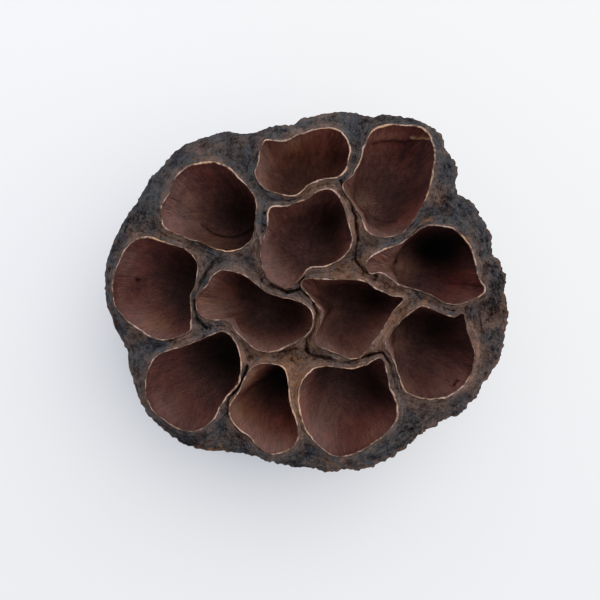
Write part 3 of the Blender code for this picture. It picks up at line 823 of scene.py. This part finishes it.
def sideShape(outline, foot):
    # rows of radius and height from the rim down to the scar: the outline shrinks with backTaper and turns
    # round, with a cosine of ribs, a swelling at each outer pocket and wrinkles that run down
    full = pod["faceHeight"]
    angle = bandAngle[None, :]
    depth = np.linspace(0.0, 1.0, back["sideRows"] + 1)[1:, None] ** 1.25 * full
    roundness = zeroToOne((depth - 7.0) / (full - 9.0)) ** 1.3
    radius = backTaper(depth) * (outline[None, :] * (1.0 - roundness) + back["meanRadius"] * roundness)
    strength = np.sin(math.pi * zeroToOne((depth - 0.5) / (full - 0.5)))
    ribs = np.cos(back["ribCount"] * angle + 1.4 * np.sin(3.0 * angle) + 0.05 * depth)
    lumps = 0.0
    for loop in mouths.values():
        middle = loop.mean(0)
        if np.hypot(*middle) > 18.0:
            away = np.angle(np.exp(1j * (angle - math.atan2(middle[1], middle[0]))))
            lumps = lumps + bell(away, back["lumpWidth"]) * bell(depth - back["lumpDepth"], 5.0)
    down = depth + 0.0 * angle
    around = angle + 0.0 * down
    texture = back["wrinkleHeight"] * (1.0 - 2.2 * np.abs(roundTheRim(around, down * 0.35, 1.5, 3, 61)))
    texture = texture + back["grainHeight"] * roundTheRim(around, down, 0.9, 3, 71)
    radius = radius + back["ribHeight"] * strength * ribs + back["lumpHeight"] * lumps
    radius = radius + texture * zeroToOne(depth) * zeroToOne((35.3 - depth) / 3.0)
    settle = zeroToOne(1.0 - depth / 8.0)
    height = full - depth + settle * (foot - full)[None, :]
    # lighter on the crests of the ribs and wrinkles as painted highlight
    crown = zeroToOne(0.25 + 0.25 * ribs * strength + 2.0 * texture)
    return radius, height, crown


def frayedOutline():
    # the rim with bumps, which are higher at the lower right and at the upper right
    frayed = 0.7 + 0.6 * bell(bandAngle + 0.7, 0.9) + 0.5 * bell(bandAngle - 0.6, 0.4)
    level = 0.0 * bandAngle
    bumps = roundTheRim(bandAngle, level, 2.4, 3, 51) + 0.8 * roundTheRim(bandAngle, level, 0.7, 3, 57)
    return rimRadius(bandAngle) + back["edgeBumps"] * frayed * bumps


def sideMasks(points, crown):
    # slate at the rim turns brown below it, and the fibres run down
    x, y, z = points.T
    away = np.maximum(np.hypot(x, y), 0.1)
    around = 1.1 * back["meanRadius"]
    return {
        "warm": zeroToOne(0.55 * zeroToOne((34.0 - z) / 9.0) + 0.6 * roughness(x, y, 4.0, 3, 41)),
        "creaseShade": 0.0 * x,
        "crown": np.concatenate([crown.ravel(), np.full(len(x) - crown.size, 0.4)]),
        "fringe": zeroToOne((z - 31.5) / 3.0) * frayAt(x, y),
        "fibreWay": np.column_stack([around * x / away, around * y / away, 0.25 * z]),
    }


def makeBack():
    # a band of the face along the rim, the side and the scar, as one grid round the axis
    outline = frayedOutline()
    share = np.linspace(1.0, 0.0, back["bandRows"])[:, None] ** 1.6
    bandRadius = rimRadius(bandAngle)[None, :] - bandInset[None, :] * share
    across = np.stack([np.cos(bandAngle), np.sin(bandAngle)], -1)
    height, masks = skinSurface((bandRadius[:, :, None] * across[None]).reshape(-1, 2))
    bandHeight = height.reshape(bandRadius.shape)
    bandRadius = bandRadius + (outline - rimRadius(bandAngle))[None, :] * (1.0 - share)
    sideRadius, sideHeight, crown = sideShape(outline, bandHeight[-1])
    scarRadius = np.linspace(1.0, 0.0, back["scarRows"] + 1)[1:-1, None] * sideRadius[-1][None, :]
    radius = np.vstack([bandRadius, sideRadius, scarRadius])
    z = np.vstack([bandHeight, sideHeight, np.zeros_like(scarRadius)])
    points = np.concatenate([radius[:, :, None] * across[None], z[:, :, None]], -1).reshape(-1, 3)
    rows, columns = radius.shape
    quads = gridQuads(rows, columns)[:, ::-1]
    last = (rows - 1) * columns + np.arange(columns)
    fan = np.column_stack([np.roll(last, -1), last, np.full(columns, len(points))])
    points = np.vstack([points, [[0.0, 0.0, 0.0]]])
    side = sideMasks(points[bandRadius.size:], crown)
    masks = {name: np.concatenate([values, side[name]]) for name, values in masks.items()}
    makePiece("pod_back", points, quads.tolist() + fan.tolist(), masks, podSkin)
    print("back:", len(points), "points")


makeBack()


pocket = {
    "depth": 16.5,
    "lipWidth": 0.25,
    "lipRows": 10,
    "skirtDepth": 1.9,
    "wallRows": 60,
    "fibreRun": 60.0,
    "fibreHeight": 0.09,
    "lumpHeight": 0.30,
    "foldHeight": 0.35,
    "foldWidth": 0.55,
    "creaseWidth": 0.2,
    "tearHeight": 0.3,
    "tearWidth": 0.2,
    "paleness": {"north": 0.35, "south": 0.20, "centreNorth": 0.18, "centreEast": 0.20, "centreWest": 0.20,
                 "northEast": 0.10, "southEast": 0.08, "southSouthEast": 0.10},
    "paleSpots": [
        (16.0, 4.4, 4.0, 0.3), (19.0, 5.2, 3.2, 0.5), (3.2, 25.0, 5.0, 0.2), (-16.5, 9.0, 3.0, 0.35),
        (10.5, 16.5, 3.2, 0.4), (-21.0, 15.0, 5.0, 0.15), (-30.0, 0.0, 5.0, 0.1), (15.5, 29.0, 3.0, 0.25),
        (-10.6, -15.6, 2.6, 0.35), (17.0, -9.5, 3.0, 0.45), (3.5, -4.0, 2.5, 0.4), (-22.5, -17.0, 4.5, 0.1),
        (4.0, -21.0, 4.5, 0.12),
    ],
    "russetSpots": [
        (-7.5, -23.0, 4.0, 0.4), (3.6, 27.4, 3.6, 0.9), (-3.0, -22.0, 3.5, 0.8), (27.0, 2.6, 3.0, 0.6),
        (9.0, -25.5, 5.0, 0.45), (-31.0, -1.0, 5.0, 0.3), (-24.0, -18.0, 6.0, 0.25), (20.0, 14.0, 3.0, 0.3),
        (16.5, 28.8, 3.5, 0.5),
    ],
    "amberSpots": [
        (-27.5, -5.0, 3.0, 0.3), (-17.5, -1.0, 3.0, 0.3), (-0.8, 25.6, 2.2, 0.5), (-15.0, 8.8, 2.6, 0.4),
        (-11.3, -22.0, 2.2, 0.6), (13.8, 3.8, 2.0, 0.3), (-10.6, -15.6, 2.2, 0.7), (-19.0, 10.5, 2.2, 0.35),
        (9.0, 17.5, 2.5, 0.3),
    ],
    # spots of painted shade on the walls that face away from the windows
    "shadeSpots": [
        (26.3, 7.8, 4.4, 0.9), (22.5, 8.3, 2.8, 0.6), (25.0, -6.2, 4.2, 0.6), (12.5, -16.5, 3.4, 0.3),
        (14.5, 17.0, 6.0, 0.12), (14.0, -19.5, 3.6, 0.45), (28.5, -11.0, 3.6, 0.35),
        (21.5, 19.5, 3.6, 0.25), (7.5, -10.5, 3.0, 0.3), (-18.0, -1.0, 3.0, 0.25), (-12.0, 14.5, 4.0, 0.4),
        (-16.0, -12.5, 4.0, 0.2), (13.5, -1.5, 3.0, 0.5), (19.0, 26.5, 3.0, 0.4), (-4.9, -17.2, 2.2, 0.6),
        (4.6, 13.5, 3.6, 0.7), (-2.5, -4.5, 3.5, 0.4), (12.0, 1.0, 3.5, 0.4), (-14.3, -13.0, 3.0, 0.4),
        (6.3, 24.8, 2.5, 0.5), (-12.0, 1.4, 3.5, 0.4), (-25.0, -20.0, 5.0, 0.2), (-33.5, 0.0, 4.0, 0.4),
        (-27.5, -17.0, 3.5, 0.3), (22.0, -17.5, 4.0, 0.5), (-21.0, -23.5, 4.0, 0.35),
        (7.5, -28.0, 5.0, 0.4),
    ],
    # dark dots of painted shade where small holes would be
    "pits": [(17.1, 5.8, 0.35, 1.0), (-31.5, 2.2, 0.35, 0.9)],
    "brightLip": [
        (22.6, 21.5, 4.0, 0.35), (-26.0, 8.9, 3.0, 0.3), (-18.0, 23.0, 4.0, 0.35), (-7.5, 27.0, 3.0, 0.2),
        (5.5, 28.5, 4.0, 0.4), (7.4, 23.5, 3.0, 0.15), (-6.4, 15.2, 2.2, 0.3), (3.5, 17.9, 3.0, 0.2),
        (14.5, 29.6, 3.5, 0.45), (20.8, 28.8, 3.5, 0.35), (-29.0, 9.3, 3.2, 0.35), (-1.2, -18.5, 4.0, 0.5),
        (-0.6, -24.5, 3.0, 0.4), (15.6, -21.5, 4.5, 0.3), (23.0, -19.0, 4.0, 0.3), (28.2, 9.4, 3.0, 0.3),
        (31.6, 0.8, 2.5, 0.3), (-12.0, -15.0, 3.5, 0.25), (-6.9, 12.8, 1.8, 0.4), (-13.5, -20.5, 3.0, 0.3),
        (-6.0, -10.6, 4.0, 0.2),
    ],
    "dullLip": [
        (-6.5, -13.2, 2.6, 0.5), (5.0, -13.8, 3.6, 0.35), (-13.0, 3.2, 3.0, 0.3), (28.5, -6.0, 4.0, 0.2),
        (30.0, -9.5, 5.0, 0.5), (-7.0, 0.4, 4.5, 0.4), (-25.5, 12.0, 5.0, 0.25), (-19.6, -1.0, 4.0, 0.25),
        (-34.5, -1.0, 5.0, 0.3), (-9.8, 10.0, 3.0, 0.3), (22.0, -3.4, 4.5, 0.3), (-20.0, -9.6, 3.5, 0.3),
        (24.5, -2.0, 3.0, 0.2),
    ],
}

# Walls that slope in towards the hollow: the way they face away to, how wide and how much of the way in.
ramps = {
    "east": [(3.1, 0.80, 0.80)],
    "south": [(2.0, 0.60, 0.60), (2.9, 0.6, 0.20)],
    "northEast": [(-2.5, 0.9, 0.50)],
    "centreEast": [(3.1, 0.8, 0.50)],
    "centreWest": [(2.9, 0.6, 0.45)],
    "southEast": [(3.1, 0.8, 0.50)],
    "southSouthEast": [(2.9, 0.7, 0.35)],
    "centreNorth": [(-2.4, 0.7, 0.30)],
}

# Folds in the linings, seen from above, each with how dark the painted shade in its crease is and the line
# that it bulges along.
folds = {
    "northWest": [
        (0.6, [(-20.2, 12.6), (-18.6, 11.3), (-16.7, 10.5), (-14.0, 10.2), (-11.9, 10.9), (-9.9, 12.2)]),
    ],
    "northEast": [
        (0.35, [(11.0, 16.4), (12.1, 14.6), (13.9, 13.3), (15.5, 12.8), (17.1, 12.8)]),
        (0.5, [(12.2, 27.4), (13.8, 27.9), (16.0, 28.1), (18.4, 27.8), (20.5, 28.2)]),
    ],
    "southEast": [
        (0.7, [(27.0, -17.3), (27.8, -16.4)]),
    ],
}

# Pale torn strips of a lip that lie on the lining.
tears = {"northEast": [(22.8, 27.5), (21.3, 28.0), (19.2, 28.4)]}


def leanAt(height):
    # how far a pocket's slice at that height has closed in on the pod's axis
    depths = [-3.0, 0.0, 3.0, 6.0, 10.0, 14.0, 17.0]
    shares = [1.0, 1.0, 0.985, 0.956, 0.906, 0.844, 0.795]
    return np.interp(pod["faceHeight"] - height, depths, shares)


def lipRings(mouth, gap):
    # a half-round edge, thin and uneven, on a skirt that stands in the skin
    x, y = mouth[:, 0], mouth[:, 1]
    out = outwardOf(mouth)
    facing = 0.8 * out[:, 0] + 0.6 * out[:, 1]
    bright = spotsAt(x, y, pocket["brightLip"])
    width = pocket["lipWidth"] * (0.95 + 0.12 * facing + 0.8 * roughness(x, y, 1.7, 3, 95) + 0.9 * bright)
    width = np.minimum(np.clip(width, 0.10, 0.6), 0.46 * gap)
    crest = lipHeight(x, y) + 0.28 * roughness(x, y, 2.4, 3, 97) + 0.12 * roughness(x, y, 0.6, 2, 99)
    a = np.linspace(0.0, math.pi, pocket["lipRows"])[:, None]
    drop = (1.0 - np.sin(a) ** 0.8) * np.where(a < 0.5 * math.pi, 0.55, 0.28)
    skirt = np.minimum(width * 1.1 + 0.3, 0.46 * gap)
    offset = np.vstack([skirt, width[None, :] * (0.5 + 0.5 * np.cos(a))])
    height = np.vstack([crest - pocket["skirtDepth"], crest[None, :] - drop])
    flat = mouth[None] + out[None] * offset[:, :, None]
    light = 0.36 + 0.9 * roughness(x, y, 1.8, 4, 101) + 0.4 * patches(x, y, 0.45, 105)
    light = light + 0.8 * bright - spotsAt(x, y, pocket["dullLip"])
    gold = 0.25 + 0.9 * bright + 0.9 * roughness(x, y, 3.0, 3, 103)
    return np.concatenate([flat, height[:, :, None]], -1), crest - 0.28, zeroToOne([light, gold])


def fadedAround(values, run, length):
    # fades the values out at both ends of their run, so that they close
    return values * zeroToOne(np.minimum(run, length - run) / 3.0)


def wallRings(name, mouth, top, gap):
    # slices of the mouth shrink as (1 - p^2.6)^0.42, p the share of the depth, turn rounder as p squared
    # and close in on the pod's axis; fibres, lumps and folds push them in and out, less than the gap allows
    middle = mouth.mean(0)
    arm = mouth - middle
    reach = np.hypot(arm[:, 0], arm[:, 1])[:, None]
    roundArm = arm / reach * reach.mean()
    p = (1.0 - (1.0 - np.linspace(0.0, 1.0, pocket["wallRows"] + 2)[1:-1]) ** 1.5)[:, None]
    share = (1.0 - p**2.6) ** 0.42 + 0.02 * bell(p - 0.12, 0.08)
    inward = 0.0 * reach[:, 0]
    for way, width, amount in ramps.get(name, []):
        away = np.angle(np.exp(1j * (np.arctan2(arm[:, 1], arm[:, 0]) - way)))
        inward = inward + amount * bell(away, width)
    ramped = share * (1.0 - inward[None, :] * p**1.2)
    floorHeight = faceHeight(*middle) - pocket["depth"]
    height = top[None, :] * (1.0 - p) + floorHeight * p
    roundness = (p**2)[:, :, None]
    flat = middle + ramped[:, :, None] * (arm[None] * (1.0 - roundness) + roundArm[None] * roundness)
    seed = 200 + 7 * list(mouths).index(name)
    run = np.linspace(0.0, pocket["fibreRun"], len(mouth), endpoint=False)[None, :]
    level = 0.0 * height
    ribs = fadedAround(roughness(run + level, 4.0 * p + level, 1.4, 3, seed), run, pocket["fibreRun"])
    lumps = roughness(flat[:, :, 0], flat[:, :, 1] + height, 5.0, 2, seed + 3)
    push = pocket["fibreHeight"] * ribs + pocket["lumpHeight"] * lumps
    push = np.minimum(push, 0.3 * gap) * zeroToOne(p / 0.25) * zeroToOne((1.0 - p) / 0.2)
    leaning = flat * leanAt(height)[:, :, None]
    creaseShade, tear = 0.0 * height, 0.0 * height
    for dark, line in folds.get(name, []):
        away = nearLine(leaning[:, :, 0], leaning[:, :, 1], line)
        push = push - pocket["foldHeight"] * bell(away, pocket["foldWidth"]) * zeroToOne(p / 0.2)
        # painted shade along the fold's crease, beneath its bulge
        creaseShade = np.maximum(creaseShade, dark * bell(away, pocket["creaseWidth"]))
    if name in tears:
        tear = bell(nearLine(leaning[:, :, 0], leaning[:, :, 1], tears[name]), pocket["tearWidth"])
        push = push - pocket["tearHeight"] * tear
    flat = (flat + (arm / reach)[None] * push[:, :, None]) * leanAt(height)[:, :, None]
    bottom = np.append(middle * leanAt(floorHeight), floorHeight)
    return np.concatenate([flat, height[:, :, None]], -1), bottom, p, share, creaseShade, tear


def makePocket(name, mouth, gap):
    # the lip's rings and the wall's rings as one grid, closed with a fan at the floor's middle
    lip, top, (light, gold) = lipRings(mouth, gap)
    wall, bottom, p, share, creaseShade, tear = wallRings(name, mouth, top, gap)
    n = len(mouth)
    rows = len(lip) + len(wall)
    grid = np.concatenate([lip, wall])
    points = np.vstack([grid.reshape(-1, 3), bottom])
    quads = gridQuads(rows, n)
    last = (rows - 1) * n + np.arange(n)
    fan = np.column_stack([last, np.roll(last, -1), np.full(n, len(points) - 1)])
    # the fibres' coordinates: round a circle that shrinks with the wall, and slowly down
    arm = mouth - mouth.mean(0)
    phi = np.arctan2(arm[:, 1], arm[:, 0])[None, :]
    depth = np.concatenate([np.zeros(len(lip)), p[:, 0]])[:, None]
    shrink = np.concatenate([np.ones(len(lip)), np.clip(share[:, 0], 0.2, 1.0)])[:, None]
    k = pocket["fibreRun"] / turn
    way = np.stack([k * shrink * np.cos(phi), k * shrink * np.sin(phi), 1.6 * depth + 0.0 * phi], -1)
    way = np.vstack([way.reshape(-1, 3), [[0.0, 0.0, 1.6]]])
    x, y = grid[:, :, 0], grid[:, :, 1]
    onLip = np.zeros((len(lip), n))
    isLip = (np.arange(rows) < len(lip))[:, None]
    strips = np.vstack([onLip, tear])
    # painted shade on the walls that face away from the windows
    shadeShare = spotsAt(x, y, pocket["shadeSpots"]) * zeroToOne(depth / 0.1)
    outside = np.zeros((rows, n))
    outside[:4] = np.array([1.0, 0.8, 0.45, 0.1])[:, None]
    masks = {
        "lip": np.where(isLip, 1.0, np.maximum(0.4 * zeroToOne(1.0 - depth / 0.015), strips)),
        "lipLight": np.maximum(light[None, :], strips),
        "gold": gold[None, :] + 0.0 * x,
        "outside": outside,
        # painted shade in the folds' creases and at the pits
        "creaseShade": zeroToOne(np.maximum(np.vstack([onLip, creaseShade]), spotsAt(x, y, pocket["pits"]))),
        "pale": zeroToOne(pocket["paleness"].get(name, 0.0) + spotsAt(x, y, pocket["paleSpots"])),
        # painted shade: a band just below the lip, where its shade falls, and the spots on the shaded walls
        "shadeShare": zeroToOne(0.38 * np.exp(-depth / 0.18) * zeroToOne(depth / 0.02) + shadeShare),
        "russet": zeroToOne(0.40 * np.exp(-depth / 0.2) + spotsAt(x, y, pocket["russetSpots"])),
        "amber": zeroToOne(spotsAt(x, y, pocket["amberSpots"])),
        # greyer and a little darker towards the floor of each pocket
        "greyDeep": zeroToOne((depth - 0.55) / 0.4) * 0.7 + 0.0 * x,
    }
    masks = {key: np.append(values.ravel(), values[-1, 0]) for key, values in masks.items()}
    masks["fibreWay"] = way
    makePiece("pocket_" + name, points, quads.tolist() + fan.tolist(), masks, pocketLining)


gaps = mouthGaps()
for name, mouth in mouths.items():
    makePocket(name, mouth, gaps[name])
print("pockets made")


# The windows, the floor and the stretches over which its colour changes are in metres.
stageLook = {
    "worldColour": (0.90, 0.94, 1.0, 1.0),
    "worldStrength": 0.45,
    "eastPlace": (0.55, 0.22, 0.82),
    "eastPower": 5.0,
    "northPlace": (0.03, 0.58, 0.82),
    "northPower": 3.5,
    "windowSize": 1.2,
    "windowAim": (0.0, 0.0, 0.03),
    "toneCurve": [
        (0.015, 0.006), (0.05, 0.055), (0.12, 0.17), (0.25, 0.40), (0.42, 0.67), (0.7, 0.89), (1.0, 0.98),
    ],
    # painted cool light on the left and painted shade towards the near edge of a white floor
    "floorLeftBlueCast": (0.88, 0.895, 0.98, 1.0),
    "floorRight": (0.875, 0.875, 0.88, 1.0),
    "floorNearShade": (0.785, 0.79, 0.82, 1.0),
    "floorCloud": (0.76, 0.76, 0.77, 1.0),
    "leftToRight": (-0.06, 0.03),
    "nearToFar": (-0.05, 0.05),
    "cloudShare": 0.15,
    "floorRough": 0.9,
    "floorHalf": 3.0,
    "frameCentre": (-1.2, -1.6),
    "frameWidth": 108.0,
    "frameRise": 1.0,
    "lens": 85.0,
    "sensorWidth": 36.0,
}


def makeFloorMaterial():
    # bluish on the left as a painted cool cast of the shadow side, greyer on the right, darker towards the
    # near edge as painted shade, faintly clouded
    material, tree = startMaterial("paleFloor")
    look, where = stageLook, placeOf(tree)
    cloud = addNode(tree, "ShaderNodeTexNoise", Vector=where, Scale=6.0, Detail=2.0).outputs[0]
    across, along, _ = addNode(tree, "ShaderNodeSeparateXYZ", Vector=where).outputs
    rightness = remap(tree, across, *look["leftToRight"])
    colour = mixColours(tree, rightness, look["floorLeftBlueCast"], look["floorRight"])
    # painted shade towards the near edge
    nearness = remap(tree, along, *look["nearToFar"], 1.0, 0.0)
    colour = mixColours(tree, nearness, colour, look["floorNearShade"])
    cloud = mathOf(tree, "MULTIPLY", cloud, look["cloudShare"])
    colour = mixColours(tree, cloud, colour, look["floorCloud"])
    shader = tree.nodes["Principled BSDF"]
    feed(tree, shader.inputs["Base Color"], colour)
    feed(tree, shader.inputs["Roughness"], look["floorRough"])
    return material


def makeFloor():
    mesh = bpy.data.meshes.new("floor")
    h = stageLook["floorHalf"]
    mesh.from_pydata([(-h, -h, 0.0), (h, -h, 0.0), (h, h, 0.0), (-h, h, 0.0)], [], [(0, 1, 2, 3)])
    mesh.materials.append(makeFloorMaterial())
    floor = bpy.data.objects.new("floor", mesh)
    bpy.context.scene.collection.objects.link(floor)


def makeWorld():
    world = bpy.data.worlds.new("studio")
    world.use_nodes = True
    background = world.node_tree.nodes["Background"]
    background.inputs["Color"].default_value = stageLook["worldColour"]
    background.inputs["Strength"].default_value = stageLook["worldStrength"]
    bpy.context.scene.world = world


def setToneCurve():
    # a camera's tone curve: the darks sink and the lights flatten
    view = bpy.context.scene.view_settings
    view.view_transform = "Standard"
    view.use_curve_mapping = True
    curve = view.curve_mapping.curves[3]
    curve.points[0].location = (0.0, 0.0)
    curve.points[1].location = stageLook["toneCurve"][-1]
    for x, y in stageLook["toneCurve"][:-1]:
        curve.points.new(x, y)
    view.curve_mapping.update()


def makeWindow(side):
    # a square light at its place, turned so that it shines on windowAim
    light = bpy.data.lights.new(side + "Window", "AREA")
    light.shape = "SQUARE"
    light.size = stageLook["windowSize"]
    light.energy = stageLook[side + "Power"]
    window = bpy.data.objects.new(side + "Window", light)
    window.location = stageLook[side + "Place"]
    x, y, z = np.array(stageLook["windowAim"]) - np.array(stageLook[side + "Place"])
    window.rotation_euler = (math.atan2(math.hypot(x, y), -z), 0.0, math.atan2(x, -y) + math.pi)
    bpy.context.scene.collection.objects.link(window)


def makeCamera():
    # straight above, so high that the frame is frameWidth wide at frameRise over the face
    camera = bpy.data.cameras.new("camera")
    camera.lens = stageLook["lens"]
    camera.sensor_width = stageLook["sensorWidth"]
    camera.clip_start = 0.01
    away = stageLook["frameWidth"] * stageLook["lens"] / stageLook["sensorWidth"]
    seen = bpy.data.objects.new("camera", camera)
    x, y = stageLook["frameCentre"]
    seen.location = (x * mm, y * mm, (away + pod["faceHeight"] + stageLook["frameRise"]) * mm)
    bpy.context.scene.collection.objects.link(seen)
    bpy.context.scene.camera = seen


makeFloor()
makeWorld()
setToneCurve()
for side in ("east", "north"):
    makeWindow(side)
makeCamera()
print("stage made")
